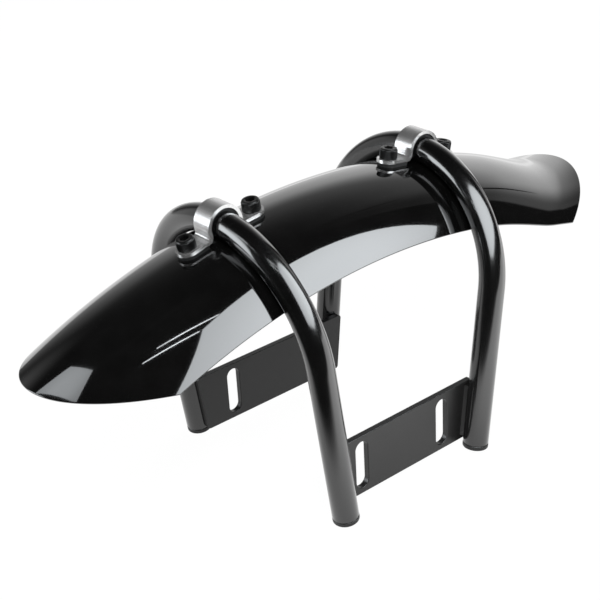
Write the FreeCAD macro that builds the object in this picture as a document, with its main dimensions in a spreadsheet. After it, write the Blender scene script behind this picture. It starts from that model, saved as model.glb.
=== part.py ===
"""Motorcycle front fender on two tube stays, as a parametric FreeCAD document in millimetres.

X runs along the blade from its rounded front end to its flared rear end, Y across the wheel, Z up.
The origin lies on the floor, midway between the four feet of the stays.
"""
import FreeCAD, Part
import math
import os

import Sketcher

doc = FreeCAD.newDocument("front_fender")

# Driving dimensions: millimetres and degrees
DRIVING = {
    "tube_diameter": 19.1,
    "tube_wall": 1.6,
    "leg_spacing": 169.0,
    "leg_straight": 125.5,
    "foot_spacing": 130.0,
    "splay_angle": 7.2,
    "plug_flange": 3.8,
    "plug_stem": 12.0,
    "plug_rounding": 1.2,
    "groove_chamfer": 0.5,
    "plate_thickness": 5.0,
    "plate_height": 47.0,
    "plate_lift": 4.5,
    "plate_overlap": 1.0,
    "plate_corner": 2.5,
    "plate_edge": 0.6,
    "slot_width": 11.5,
    "slot_length": 38.0,
    "slot_spacing": 79.0,
    "weld_start": 2.0,
    "weld_foot": 7.6,
    "weld_toe": 1.0,
    "weld_inset": 3.0,
    "crown_radius": 524.0,
    "section_radius": 72.5,
    "blade_width": 125.0,
    "blade_thickness": 2.0,
    "front_sweep": 31.0,
    "front_tip_height": 146.6,
    "front_tip_reach": 244.4,
    "front_cut_slope": 6.0,
    "flare_start": 20.7,
    "rear_straight": 17.5,
    "flare_radius": 300.0,
    "flare_sweep": 16.0,
    "rear_tip_height": 152.3,
    "rear_tip_reach": 248.6,
    "rear_cut_slope": 22.1,
    "liner_thickness": 2.0,
    "liner_skirt": 5.0,
    "liner_inset": 2.0,
    "fit_clearance": 0.05,
    "strap_thickness": 2.4,
    "strap_width": 16.5,
    "strap_bend": 1.5,
    "screw_offset": 27.5,
    "pad_thickness": 2.4,
    "pad_margin": 0.6,
    "pad_skirt": 1.5,
    "hole_clearance": 0.6,
    "screw_diameter": 8.0,
    "head_diameter": 13.0,
    "head_height": 8.0,
    "head_chamfer": 0.8,
    "socket_width": 6.0,
    "socket_depth": 4.0,
    "thread_stand_out": 2.0,
    "thread_chamfer": 0.8,
    "washer_diameter": 16.0,
    "washer_thickness": 1.6,
    "nut_width": 13.0,
    "nut_hex_height": 6.2,
    "nut_collar_diameter": 11.2,
    "nut_collar_height": 1.8,
}

# How far the cutter that trims an end of the blade reaches past the tip and back from it
TRIM_PAST = 60
TRIM_BACK = 110

# How far a drill that starts at the wheel's centre goes on past the crown
DRILL_PAST = 40

# Edges nearer than this to a given place lie at it
NEAR = 0.01

# Values worked out from the driving dimensions
WORKED = {
    "tube_radius": "tube_diameter / 2",
    "leg_offset": "leg_spacing / 2",
    "stay_height": "leg_straight + leg_offset",
    "foot_rise": "(tube_radius - plug_rounding) * sin(splay_angle) + plug_rounding * (1 - cos(splay_angle))",
    "plate_face": "leg_offset - tube_radius",
    "plate_middle": "plate_lift + plate_height / 2",
    "plate_reach": "foot_spacing / 2 + plate_middle * tan(splay_angle) + plate_overlap",
    "plate_taper": "plate_height / 2 * tan(splay_angle)",
    "top_reach": "foot_spacing / 2 + stay_height * sin(splay_angle)",
    "top_height": "foot_rise + stay_height * cos(splay_angle)",
    "liner_radius": "tube_radius + liner_thickness",
    "axis_radius": "crown_radius + fit_clearance + tube_radius",
    "wheel_height": "top_height - sqrt(axis_radius ^ 2 - top_reach ^ 2)",
    "clamp_angle": "asin(top_reach / axis_radius) / 1deg",
    "screw_swing": "screw_offset / crown_radius * 180 / pi",
    "strap_inner": "liner_radius + fit_clearance",
    "strap_outer": "strap_inner + strap_thickness",
    "strap_seat": "crown_radius + pad_thickness",
    "head_seat": "strap_seat + strap_thickness",
    "hole_diameter": "screw_diameter + hole_clearance",
    "inner_section": "section_radius - blade_thickness",
    "washer_drop": "inner_section - sqrt(inner_section ^ 2 - washer_diameter ^ 2 / 4) + 2 * fit_clearance",
    "washer_seat": "crown_radius - blade_thickness - washer_drop",
    "nut_seat": "washer_seat - washer_thickness",
    "nut_height": "nut_hex_height + nut_collar_height",
    "screw_length": "head_seat - nut_seat + nut_height + thread_stand_out",
}


def make_sheet():
    """Put the driving dimensions in one sheet and what follows from them in another."""
    driving = doc.addObject("Spreadsheet::Sheet", "size")
    for row, (alias, value) in enumerate(DRIVING.items(), start=1):
        driving.set(f"A{row}", alias)
        driving.set(f"B{row}", str(value))
        driving.setAlias(f"B{row}", alias)
    doc.recompute()
    worked = doc.addObject("Spreadsheet::Sheet", "worked")
    for row, (alias, formula) in enumerate(WORKED.items(), start=1):
        worked.set(f"A{row}", alias)
        worked.set(f"B{row}", "=" + qualified(formula, local="worked"))
        worked.setAlias(f"B{row}", alias)
        doc.recompute()


def qualified(formula, local=None):
    """Write each alias in a formula with the name of the sheet that holds it."""
    words = []
    word = ""
    for letter in formula + " ":
        if letter.isalnum() or letter == "_":
            word += letter
            continue
        if word in DRIVING:
            word = "size." + word
        elif word in WORKED and local is None:
            word = "worked." + word
        words.append(word + letter)
        word = ""
    return "".join(words).strip()


def bind(target, path, formula):
    """Bind a property or a sketch constraint to the sheets."""
    target.setExpression(path, qualified(formula))


def value_of(alias):
    """Read one number from the sheets."""
    sheet = doc.getObject("size" if alias in DRIVING else "worked")
    return float(getattr(sheet, alias))


def origin_feature(body, role):
    """Find a plane or axis of a body's own origin."""
    for feature in body.Origin.OriginFeatures:
        if feature.Role == role:
            return feature
    raise ValueError(role)


def make_body(label):
    body = doc.addObject("PartDesign::Body", label)
    body.Label = label
    return body


def make_sketch(body, name, role):
    sketch = body.newObject("Sketcher::SketchObject", f"{body.Name}_{name}")
    sketch.AttachmentSupport = [(origin_feature(body, role), "")]
    sketch.MapMode = "FlatFace"
    return sketch


def make_feature(body, kind, sketch, name=None):
    feature = body.newObject(f"PartDesign::{kind}", f"{body.Name}_{name or kind.lower()}")
    feature.Profile = sketch
    return feature


def number(formula):
    """The value of a formula with the present sizes, used as a sketch's first guess."""
    answer = doc.getObject("worked").evalExpression(qualified(formula))
    return float(getattr(answer, "Value", answer))


def pin_point(sketch, geometry, place, across, upward):
    """Hold a sketch point at two coordinates, each a formula in the sheets' names or a plain 0."""
    for axis, kind, formula in ((-2, "DistanceX", across), (-1, "DistanceY", upward)):
        if formula == "0":
            sketch.addConstraint(Sketcher.Constraint("PointOnObject", geometry, place, axis))
            continue
        index = sketch.addConstraint(
            Sketcher.Constraint(kind, -1, 1, geometry, place, number(formula)))
        bind(sketch, f"Constraints[{index}]", formula)


def draw_outline(sketch, points, bulges=None):
    """Draw a closed outline through points given as formula pairs.

    bulges maps a side's number to (radius formula, turn): that side is an arc that turns left (1) or right (-1).
    Without a radius the arc is a half circle that runs on smoothly from the side before it.
    """
    bulges = bulges or {}
    places = [FreeCAD.Vector(number(across), number(upward), 0) for across, upward in points]
    sides = []
    for side, start in enumerate(places):
        end = places[(side + 1) % len(places)]
        if side in bulges:
            sides.append(draw_arc(sketch, start, end, *bulges[side]))
        else:
            sides.append((sketch.addGeometry(Part.LineSegment(start, end), False), 1, 2))
    for side, (index, first, last) in enumerate(sides):
        following = (side + 1) % len(sides)
        joint = "Tangent" if bulges.get(following, ("", 0))[0] is None else "Coincident"
        sketch.addConstraint(Sketcher.Constraint(joint, index, last, sides[following][0], sides[following][1]))
        pin_point(sketch, index, first, *points[side])


def draw_arc(sketch, start, end, radius, turn):
    """Add an arc from start to end with the centre on its left (turn 1) or right (turn -1)."""
    chord = end - start
    size = number(radius) if radius else chord.Length / 2
    left = FreeCAD.Vector(-chord.y, chord.x, 0).normalize()
    rise = max(size ** 2 - chord.Length ** 2 / 4, 0) ** 0.5
    circle = Part.Circle((start + end) * 0.5 + left * turn * rise, FreeCAD.Vector(0, 0, 1), size)
    low, high = (start, end) if turn > 0 else (end, start)
    index = sketch.addGeometry(Part.ArcOfCircle(circle, circle.parameter(low), circle.parameter(high)), False)
    if radius:
        dimension = sketch.addConstraint(Sketcher.Constraint("Radius", index, size))
        bind(sketch, f"Constraints[{dimension}]", radius)
    return (index, 1, 2) if turn > 0 else (index, 2, 1)


def draw_circle(sketch, across, upward, radius):
    circle = Part.Circle(FreeCAD.Vector(number(across), number(upward), 0), FreeCAD.Vector(0, 0, 1), number(radius))
    index = sketch.addGeometry(circle, False)
    pin_point(sketch, index, 3, across, upward)
    dimension = sketch.addConstraint(Sketcher.Constraint("Radius", index, number(radius)))
    bind(sketch, f"Constraints[{dimension}]", radius)


def draw_slot(sketch, across, upward, width, length):
    """Draw an upright slot with round ends, given its centre, width and whole length."""
    half = f"({width}) / 2"
    reach = f"({length} - {width}) / 2"
    left, right = f"{across} - {half}", f"{across} + {half}"
    low, high = f"{upward} - {reach}", f"{upward} + {reach}"
    draw_outline(sketch, [(right, low), (right, high), (left, high), (left, low)],
                 {1: (None, 1), 3: (None, 1)})


def place(body, across="0", sideways="0", upward="0", turn="0"):
    """Set a body's place, and its turn about Y, from formulas."""
    body.Placement = FreeCAD.Placement(FreeCAD.Vector(0, 0, 0), FreeCAD.Rotation(FreeCAD.Vector(0, 1, 0), 1))
    bind(body, "Placement.Base.x", across)
    bind(body, "Placement.Base.y", sideways)
    bind(body, "Placement.Base.z", upward)
    bind(body, "Placement.Rotation.Angle", f"({turn}) * 1deg")


def place_on_stay(body, end, sideways="0"):
    """Set a body into the leaning frame of the front (-1) or rear (1) stay."""
    place(body, f"{end} * foot_spacing / 2", sideways, "foot_rise", f"{end} * splay_angle")


def place_on_blade(body, radius, turn):
    """Set a body on the spoke at an angle from the wheel's upright, at a distance from the wheel's centre."""
    place(body, f"({radius}) * sin({turn})", "0", f"wheel_height + ({radius}) * cos({turn})", turn)


def edge_names(shape, wanted):
    """Names of the edges of a shape that pass a test."""
    return [f"Edge{index}" for index, edge in enumerate(shape.Edges, start=1) if wanted(edge)]


def soften(body, kind, size, wanted, name=None):
    """Fillet or chamfer the edges of the body's last feature that pass a test."""
    doc.recompute()
    base = body.Tip
    feature = body.newObject(f"PartDesign::{kind}", f"{body.Name}_{name or kind.lower()}")
    feature.Base = (base, edge_names(base.Shape, wanted))
    bind(feature, "Radius" if kind == "Fillet" else "Size", size)
    return feature


def stay(label, end):
    """One tube bent to an upside-down U, leaning away from the middle."""
    body = make_body(label)
    route = make_sketch(body, "route", "YZ_Plane")
    half, low, high = number("leg_offset"), number("plug_flange"), number("leg_straight")
    near = route.addGeometry(Part.LineSegment(FreeCAD.Vector(-half, low, 0), FreeCAD.Vector(-half, high, 0)), False)
    circle = Part.Circle(FreeCAD.Vector(0, high, 0), FreeCAD.Vector(0, 0, 1), half)
    bend = route.addGeometry(Part.ArcOfCircle(circle, 0, math.pi), False)
    far = route.addGeometry(Part.LineSegment(FreeCAD.Vector(half, high, 0), FreeCAD.Vector(half, low, 0)), False)
    route.addConstraint(Sketcher.Constraint("Tangent", near, 2, bend, 2))
    route.addConstraint(Sketcher.Constraint("Coincident", bend, 1, far, 1))
    pin_point(route, near, 1, "-leg_offset", "plug_flange")
    pin_point(route, near, 2, "-leg_offset", "leg_straight")
    pin_point(route, far, 1, "leg_offset", "leg_straight")
    pin_point(route, far, 2, "leg_offset", "plug_flange")
    ring = make_sketch(body, "ring", "XY_Plane")
    bind(ring, "AttachmentOffset.Base.z", "plug_flange")
    draw_circle(ring, "0", "-leg_offset", "tube_radius")
    draw_circle(ring, "0", "-leg_offset", "tube_radius - tube_wall")
    tube = make_feature(body, "AdditivePipe", ring, "tube")
    tube.Spine = (route, [])
    radius = value_of("tube_radius")

    def rim(edge):
        flat = abs(edge.BoundBox.ZMax - value_of("plug_flange")) < NEAR
        return flat and edge.Curve.TypeId == "Part::GeomCircle" and abs(edge.Curve.Radius - radius) < NEAR

    soften(body, "Chamfer", "groove_chamfer", rim)
    place_on_stay(body, end)


def end_plug(label, end, side):
    """The plug in the foot of one leg: a flange as wide as the tube and a hollow stem inside it."""
    body = make_body(label)
    sketch = make_sketch(body, "half", "XZ_Plane")
    stem = "tube_radius - tube_wall - fit_clearance"
    draw_outline(sketch, [
        ("0", "0"), ("tube_radius", "0"), ("tube_radius", "plug_flange - groove_chamfer"),
        ("tube_radius - groove_chamfer", "plug_flange"), (stem, "plug_flange"),
        (stem, "plug_flange + plug_stem"), (f"{stem} - tube_wall", "plug_flange + plug_stem"),
        (f"{stem} - tube_wall", "plug_flange"), ("0", "plug_flange")])
    turned = make_feature(body, "Revolution", sketch)
    turned.ReferenceAxis = (sketch, ["V_Axis"])
    turned.Angle = 360
    radius = value_of("tube_radius")
    soften(body, "Fillet", "plug_rounding",
           lambda edge: edge.BoundBox.ZMax < NEAR and abs(edge.BoundBox.XMax - radius) < NEAR)
    place_on_stay(body, end, f"{side} * leg_offset")


def fork_plate(label, side):
    """A flat bar with two upright slots for the fork's bolts, on the inner side of the legs."""
    body = make_body(label)
    outline = make_sketch(body, "outline", "XZ_Plane")
    foot, top, height = "plate_reach - plate_taper", "plate_reach + plate_taper", "plate_height / 2"
    draw_outline(outline, [
        (f"-({foot})", f"-{height}"), (foot, f"-{height}"), (top, height), (f"-({top})", height)])
    bar = make_feature(body, "Pad", outline)
    bar.SideType = "Symmetric"
    bind(bar, "Length", "plate_thickness")
    soften(body, "Fillet", "plate_corner", lambda edge: edge.BoundBox.YLength > 1)
    doc.recompute()
    slot = make_sketch(body, "slot", "XZ_Plane")
    draw_slot(slot, "slot_spacing / 2", "0", "slot_width", "slot_length")
    cut = make_feature(body, "Pocket", slot)
    cut.SideType = "Symmetric"
    cut.Type = "ThroughAll"
    pair = body.newObject("PartDesign::Mirrored", f"{body.Name}_pair")
    pair.Originals = [cut]
    pair.MirrorPlane = (origin_feature(body, "YZ_Plane"), [""])
    body.Tip = pair
    soften(body, "Fillet", "plate_edge", lambda edge: edge.BoundBox.YLength < NEAR)
    place(body, "0", f"{side} * (plate_face - plate_thickness / 2)", "foot_rise + plate_middle")


def weld_bead(label, end, side):
    """The fillet weld in the corner between a leg and the outer face of its plate."""
    body = make_body(label)
    sketch = make_sketch(body, "section", "XY_Plane")
    inward = -end
    face = f"{side} * plate_face"
    near = "sqrt(tube_radius ^ 2 - weld_start ^ 2)"
    far = "sqrt(tube_radius ^ 2 - (weld_foot - weld_toe) ^ 2)"
    turn = -inward * side
    draw_outline(sketch, [
        (f"{inward} * weld_start", face),
        (f"{inward} * weld_foot", face),
        (f"{inward} * (weld_foot - weld_toe)", f"{side} * (leg_offset - {far})"),
        (f"{inward} * weld_start", f"{side} * (leg_offset - {near})")],
        {2: ("tube_radius", turn)})
    bind(sketch, "AttachmentOffset.Base.z", "plate_lift + weld_inset")
    bead = make_feature(body, "Pad", sketch)
    bind(bead, "Length", "plate_height - 2 * weld_inset")
    place_on_stay(body, end)


def section_outline(sketch):
    """The blade's cross-section: an arched strip of even thickness, drawn at the crown's radius."""
    half = "blade_width / 2"
    centre = "crown_radius - section_radius"
    lean = f"{half} * inner_section / section_radius"
    outer_low = f"{centre} + sqrt(section_radius ^ 2 - ({half}) ^ 2)"
    inner_low = f"{centre} + sqrt(inner_section ^ 2 - ({lean}) ^ 2)"
    draw_outline(sketch, [
        (f"-{half}", outer_low), (f"-{lean}", inner_low), (lean, inner_low), (half, outer_low)],
        {1: ("inner_section", -1), 3: ("section_radius", 1)})


def lean_back(sketch):
    """Turn a section's plane about the wheel's axis to where the blade leaves its circle."""
    sketch.AttachmentOffset = FreeCAD.Placement(
        FreeCAD.Vector(0, 0, 0), FreeCAD.Rotation(FreeCAD.Vector(1, 0, 0), 1))
    bind(sketch, "AttachmentOffset.Rotation.Angle", "flare_start * 1deg")


def fender_blade():
    """The pressed sheet: an arched section swung round the wheel, then a short straight run and a reverse flare."""
    body = make_body("fender_blade")
    section = make_sketch(body, "section", "YZ_Plane")
    section_outline(section)
    arch = make_feature(body, "Revolution", section, "arch")
    arch.ReferenceAxis = (origin_feature(body, "Y_Axis"), [""])
    arch.Type = "TwoAngles"
    bind(arch, "Angle", "flare_start")
    bind(arch, "Angle2", "front_sweep")
    doc.recompute()
    run_section = make_sketch(body, "run_section", "YZ_Plane")
    section_outline(run_section)
    lean_back(run_section)
    run = make_feature(body, "Pad", run_section, "run")
    bind(run, "Length", "rear_straight")
    doc.recompute()
    lip_section = make_sketch(body, "lip_section", "YZ_Plane")
    section_outline(lip_section)
    pivot_height = "crown_radius + flare_radius"
    width = number("blade_width") / 2
    level = number(pivot_height)
    pivot = lip_section.addGeometry(
        Part.LineSegment(FreeCAD.Vector(-width, level, 0), FreeCAD.Vector(width, level, 0)), True)
    pin_point(lip_section, pivot, 1, "-blade_width / 2", pivot_height)
    pin_point(lip_section, pivot, 2, "blade_width / 2", pivot_height)
    lean_back(lip_section)
    bind(lip_section, "AttachmentOffset.Base.y", "-rear_straight * sin(flare_start)")
    bind(lip_section, "AttachmentOffset.Base.z", "rear_straight * cos(flare_start)")
    lip = make_feature(body, "Revolution", lip_section, "lip")
    lip.ReferenceAxis = (lip_section, ["Axis0"])
    lip.Reversed = True
    bind(lip, "Angle", "flare_sweep")
    doc.recompute()
    trim = make_sketch(body, "trim", "XZ_Plane")
    for end, name in ((-1, "front"), (1, "rear")):
        tip = f"{end} * {name}_tip_reach"
        level = f"{name}_tip_height - wheel_height"
        slope = f"tan({name}_cut_slope)"
        draw_outline(trim, [
            (f"{tip} + {end} * {TRIM_PAST}", f"{level} + {TRIM_PAST} * {slope}"),
            (f"{tip} - {end} * {TRIM_BACK}", f"{level} - {TRIM_BACK} * {slope}"),
            (f"{tip} - {end} * {TRIM_BACK}", f"{level} - 2 * {TRIM_BACK}"),
            (f"{tip} + {end} * {TRIM_PAST}", f"{level} - 2 * {TRIM_BACK}")])
    ends = make_feature(body, "Pocket", trim, "ends")
    ends.SideType = "Symmetric"
    ends.Type = "ThroughAll"
    doc.recompute()
    for end in (-1, 1):
        for step in (-1, 1):
            drill(body, f"hole_{end + 2}{step + 2}", screw_turn(end, step))
    place(body, "0", "0", "wheel_height")


def drill(body, name, turn):
    """Drill a screw hole along a spoke from the wheel's centre, in a body whose own origin is that centre."""
    hole = make_sketch(body, name, "XY_Plane")
    hole.AttachmentOffset = FreeCAD.Placement(
        FreeCAD.Vector(0, 0, 0), FreeCAD.Rotation(FreeCAD.Vector(0, 1, 0), 1))
    bind(hole, "AttachmentOffset.Rotation.Angle", f"({turn}) * 1deg")
    draw_circle(hole, "0", "0", "hole_diameter / 2")
    cut = make_feature(body, "Pocket", hole, name + "_cut")
    cut.Reversed = True
    bind(cut, "Length", f"crown_radius + {DRILL_PAST}")


def screw_turn(end, step):
    """Angle of a screw from the wheel's upright: before (-1) or behind (1) the clamp at one end."""
    return f"{end} * clamp_angle + {step} * screw_swing"


def clamp_strap(label, end):
    """The chrome strip bent over a stay, with a foot on either side that lies along the blade."""
    body = make_body(label)
    side_view = make_sketch(body, "side_view", "XZ_Plane")
    foot_low = "(strap_seat - strap_inner * sin(screw_swing)) / cos(screw_swing)"
    foot_top = "(head_seat - strap_outer * sin(screw_swing)) / cos(screw_swing)"
    reach = "strap_width / 2 * cos(screw_swing)"
    fall = "strap_width / 2 * sin(screw_swing)"
    end_top = (f"head_seat * sin(screw_swing) + {reach}", f"head_seat * cos(screw_swing) - {fall}")
    end_low = (f"strap_seat * sin(screw_swing) + {reach}", f"strap_seat * cos(screw_swing) - {fall}")
    rear = [("strap_outer", foot_top), end_top, end_low, ("strap_inner", foot_low), ("strap_inner", "axis_radius")]
    front = [(f"-({across})", upward) for across, upward in reversed(rear)]
    crown = [("-strap_outer", "axis_radius"), ("strap_outer", "axis_radius")]
    draw_outline(side_view, rear + front + crown, {4: (None, 1), 10: (None, -1)})
    strip = make_feature(body, "Pad", side_view, "strip")
    strip.SideType = "Symmetric"
    bind(strip, "Length", "strap_width")
    doc.recompute()
    inner, outer = value_of("strap_inner"), value_of("strap_outer")
    middle = value_of("head_seat")

    def across_at(edge, reach):
        level = edge.BoundBox.YLength > 1 and edge.BoundBox.ZMax < middle
        return level and abs(abs(edge.BoundBox.Center.x) - reach) < NEAR

    soften(body, "Fillet", "strap_bend", lambda edge: across_at(edge, outer), "inside_bend")
    soften(body, "Fillet", "strap_bend + strap_thickness", lambda edge: across_at(edge, inner), "outside_bend")
    tip = value_of("screw_offset") + value_of("strap_width") / 4
    soften(body, "Fillet", "strap_width / 2 - fit_clearance",
           lambda edge: edge.BoundBox.YLength < NEAR and edge.BoundBox.XLength < 1
           and abs(edge.BoundBox.Center.x) > tip, "foot_ends")
    doc.recompute()
    for step in (-1, 1):
        drill(body, f"hole_{step + 2}", f"{step} * screw_swing")
    place(body, "0", "0", "wheel_height", f"{end} * clamp_angle")


def strap_liner(label, end):
    """The rubber liner between a strap and its stay: a ring bent with the tube, narrower than the strap and open
    underneath."""
    body = make_body(label)
    ring = make_sketch(body, "ring", "XZ_Plane")
    draw_circle(ring, "0", "stay_height", "liner_radius")
    draw_circle(ring, "0", "stay_height", "tube_radius")
    half, level = number("tube_radius"), number("leg_straight")
    pivot = ring.addGeometry(
        Part.LineSegment(FreeCAD.Vector(-half, level, 0), FreeCAD.Vector(half, level, 0)), True)
    pin_point(ring, pivot, 1, "-tube_radius", "leg_straight")
    pin_point(ring, pivot, 2, "tube_radius", "leg_straight")
    bent = make_feature(body, "Revolution", ring)
    bent.ReferenceAxis = (ring, ["Axis0"])
    bent.Midplane = True
    bind(bent, "Angle", "2 * asin((strap_width / 2 - liner_inset) / leg_offset)")
    doc.recompute()
    mouth = make_sketch(body, "mouth", "XZ_Plane")
    lip, floor = "stay_height - liner_skirt", "stay_height - tube_diameter"
    draw_outline(mouth, [
        ("-tube_diameter", floor), ("tube_diameter", floor), ("tube_diameter", lip), ("-tube_diameter", lip)])
    opening = make_feature(body, "Pocket", mouth)
    opening.SideType = "Symmetric"
    opening.Type = "ThroughAll"
    place_on_stay(body, end)


def foot_pad(label, end, step):
    """The rubber pad between a strap's foot and the blade, hollowed underneath to the blade's own curve."""
    body = make_body(label)
    outline = make_sketch(body, "outline", "XY_Plane")
    bind(outline, "AttachmentOffset.Base.z", "strap_seat")
    half = "strap_width / 2 - pad_margin"
    inner = "screw_offset - strap_inner - strap_bend - strap_thickness"
    draw_outline(outline, [
        (f"-{step} * ({inner})", f"-{step} * ({half})"), ("0", f"-{step} * ({half})"),
        ("0", f"{step} * ({half})"), (f"-{step} * ({inner})", f"{step} * ({half})")], {1: (None, 1)})
    block = make_feature(body, "Pad", outline)
    block.Reversed = True
    bind(block, "Length", "pad_thickness + pad_skirt")
    doc.recompute()
    section = make_sketch(body, "section", "YZ_Plane")
    draw_circle(section, "0", "crown_radius - section_radius", "section_radius")
    hollow = make_feature(body, "Groove", section)
    hollow.ReferenceAxis = (origin_feature(body, "Y_Axis"), [""])
    hollow.Midplane = True
    bind(hollow, "Angle", "4 * screw_swing")
    doc.recompute()
    drill(body, "hole", "0")
    place(body, "0", "0", "wheel_height", screw_turn(end, step))


def cap_screw(label, end, step):
    """A socket cap screw: turned head and shank with a hexagon socket."""
    body = make_body(label)
    half = make_sketch(body, "half", "XZ_Plane")
    shank, head = "screw_diameter / 2", "head_diameter / 2"
    draw_outline(half, [
        ("0", "-screw_length"), (f"{shank} - thread_chamfer", "-screw_length"),
        (shank, "thread_chamfer - screw_length"), (shank, "0"), (head, "0"), (head, "head_height - head_chamfer"),
        (f"{head} - head_chamfer", "head_height"), ("0", "head_height")])
    turned = make_feature(body, "Revolution", half)
    turned.ReferenceAxis = (half, ["V_Axis"])
    turned.Angle = 360
    doc.recompute()
    socket = make_sketch(body, "socket", "XY_Plane")
    bind(socket, "AttachmentOffset.Base.z", "head_height")
    draw_hexagon(socket, "socket_width")
    recess = make_feature(body, "Pocket", socket)
    bind(recess, "Length", "socket_depth")
    place_on_blade(body, "head_seat", screw_turn(end, step))


def draw_hexagon(sketch, width):
    """A hexagon about the sketch's origin, given its width across flats."""
    corner, flat = f"{width} / sqrt(3)", f"{width} / 2"
    draw_outline(sketch, [
        (corner, "0"), (f"{corner} / 2", flat), (f"-{corner} / 2", flat),
        (f"-{corner}", "0"), (f"-{corner} / 2", f"-{flat}"), (f"{corner} / 2", f"-{flat}")])


def washer(label, end, step):
    """A plain washer whose rim bears on the inside of the blade."""
    body = make_body(label)
    ring = make_sketch(body, "ring", "XY_Plane")
    draw_circle(ring, "0", "0", "washer_diameter / 2")
    draw_circle(ring, "0", "0", "hole_diameter / 2")
    disc = make_feature(body, "Pad", ring)
    disc.Reversed = True
    bind(disc, "Length", "washer_thickness")
    place_on_blade(body, "washer_seat", screw_turn(end, step))


def lock_nut(label, end, step):
    """A hexagon nut with the round collar that holds its locking ring."""
    body = make_body(label)
    hexagon = make_sketch(body, "hexagon", "XY_Plane")
    draw_hexagon(hexagon, "nut_width")
    draw_circle(hexagon, "0", "0", "screw_diameter / 2 + fit_clearance")
    block = make_feature(body, "Pad", hexagon, "block")
    block.Reversed = True
    bind(block, "Length", "nut_hex_height")
    doc.recompute()
    ring = make_sketch(body, "ring", "XY_Plane")
    draw_circle(ring, "0", "0", "nut_collar_diameter / 2")
    draw_circle(ring, "0", "0", "screw_diameter / 2 + fit_clearance")
    collar = make_feature(body, "Pad", ring, "collar")
    collar.Reversed = True
    bind(collar, "Length", "nut_height")
    rim = value_of("nut_collar_diameter") / 2
    soften(body, "Chamfer", "nut_collar_height / 2",
           lambda edge: edge.Curve.TypeId == "Part::GeomCircle" and abs(edge.Curve.Radius - rim) < NEAR
           and edge.BoundBox.ZMax < -value_of("nut_hex_height") - NEAR)
    place_on_blade(body, "nut_seat", screw_turn(end, step))


def main():
    make_sheet()
    ends = {"front": -1, "rear": 1}
    sides = {"left": 1, "right": -1}
    steps = {"fore": -1, "aft": 1}
    fender_blade()
    for end_name, end in ends.items():
        stay(f"{end_name}_stay", end)
        for side_name, side in sides.items():
            end_plug(f"{end_name}_{side_name}_plug", end, side)
            weld_bead(f"{end_name}_{side_name}_weld", end, side)
        clamp_strap(f"{end_name}_clamp_strap", end)
        strap_liner(f"{end_name}_strap_liner", end)
        for step_name, step in steps.items():
            spot = f"{end_name}_clamp_{step_name}"
            foot_pad(f"{spot}_pad", end, step)
            cap_screw(f"{spot}_screw", end, step)
            washer(f"{spot}_washer", end, step)
            lock_nut(f"{spot}_nut", end, step)
    for side_name, side in sides.items():
        fork_plate(f"{side_name}_fork_plate", side)
    doc.recompute()
    write_parts()


def write_parts():
    """Check every object, then write each sub-part to its own file."""
    for item in doc.Objects:
        if "Invalid" in item.State or "Error" in item.State:
            raise RuntimeError(f"{item.Name} failed: {item.State}")
    os.makedirs("parts", exist_ok=True)
    bodies = [item for item in doc.Objects if item.TypeId == "PartDesign::Body"]
    for body in bodies:
        if body.Shape.isNull() or not body.Shape.isValid():
            raise RuntimeError(f"{body.Label} has no valid shape")
        body.Shape.exportStep(f"parts/{body.Label}.step")
        print(body.Label, len(body.Shape.Solids), round(body.Shape.Volume, 1))


main()
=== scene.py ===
# %% [markdown]
# A motorcycle's front fender: a gloss black blade, two bent tube stays, two chrome strap clamps and two slotted
# fork plates. The solids come from a CAD model that is packed already. This lesson loads them as a fixed frame,
# rebuilds the polished pieces with finer surfaces, because gloss black shows every facet, and gives each piece
# a finish of its own.

# %% Load the frame
import math

import bmesh
import bpy
from mathutils import Matrix, Vector


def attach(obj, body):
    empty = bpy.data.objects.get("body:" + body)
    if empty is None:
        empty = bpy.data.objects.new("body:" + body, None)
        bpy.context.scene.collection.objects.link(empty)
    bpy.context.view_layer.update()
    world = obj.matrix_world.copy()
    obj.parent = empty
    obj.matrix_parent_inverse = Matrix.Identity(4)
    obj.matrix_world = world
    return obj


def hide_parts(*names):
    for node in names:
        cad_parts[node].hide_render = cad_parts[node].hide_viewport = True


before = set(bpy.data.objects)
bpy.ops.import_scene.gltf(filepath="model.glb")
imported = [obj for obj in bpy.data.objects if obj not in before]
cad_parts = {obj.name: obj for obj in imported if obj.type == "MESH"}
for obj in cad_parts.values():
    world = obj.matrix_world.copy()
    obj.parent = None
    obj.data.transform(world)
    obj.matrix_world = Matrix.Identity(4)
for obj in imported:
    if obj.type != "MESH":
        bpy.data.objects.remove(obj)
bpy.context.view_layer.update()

# %% [markdown]
# Every length is in metres and every angle in radians. These are the sizes of the real pieces, and the rest is
# worked out from them: how far the stays lean, where their tops are, and where the wheel's centre must be for
# the blade to touch both tubes.

# %% Sizes of the tubes and the blade
MM = 0.001
TUBE_RADIUS = 9.55 * MM
LEG_OFFSET = 84.5 * MM
LEG_STRAIGHT = 125.5 * MM
FOOT_HALF = 65.0 * MM
SPLAY = math.radians(7.2)
PLUG_FLANGE = 3.8 * MM
PLUG_ROUNDING = 1.2 * MM
CROWN_RADIUS = 524.0 * MM
SECTION_RADIUS = 72.5 * MM
BLADE_WIDTH = 125.0 * MM
BLADE_THICKNESS = 2.0 * MM
FLARE_START = math.radians(20.7)
REAR_STRAIGHT = 17.5 * MM
FLARE_RADIUS = 300.0 * MM
LIP_REACH = 34.0 * MM
LIP_FLAT = 21.0 * MM
LIP_SLOPE = math.radians(7.5)
LIP_DIP = 1.9 * MM
DIP_REACH = 105.0 * MM
BLADE_EDGE = 0.6 * MM
TUBE_EDGE = 0.5 * MM
CLEARANCE = 0.05 * MM
FRONT_TRIM = (244.4 * MM, 146.6 * MM, math.radians(6.0))
REAR_TRIM = (248.6 * MM, 152.3 * MM, math.radians(22.1))

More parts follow.
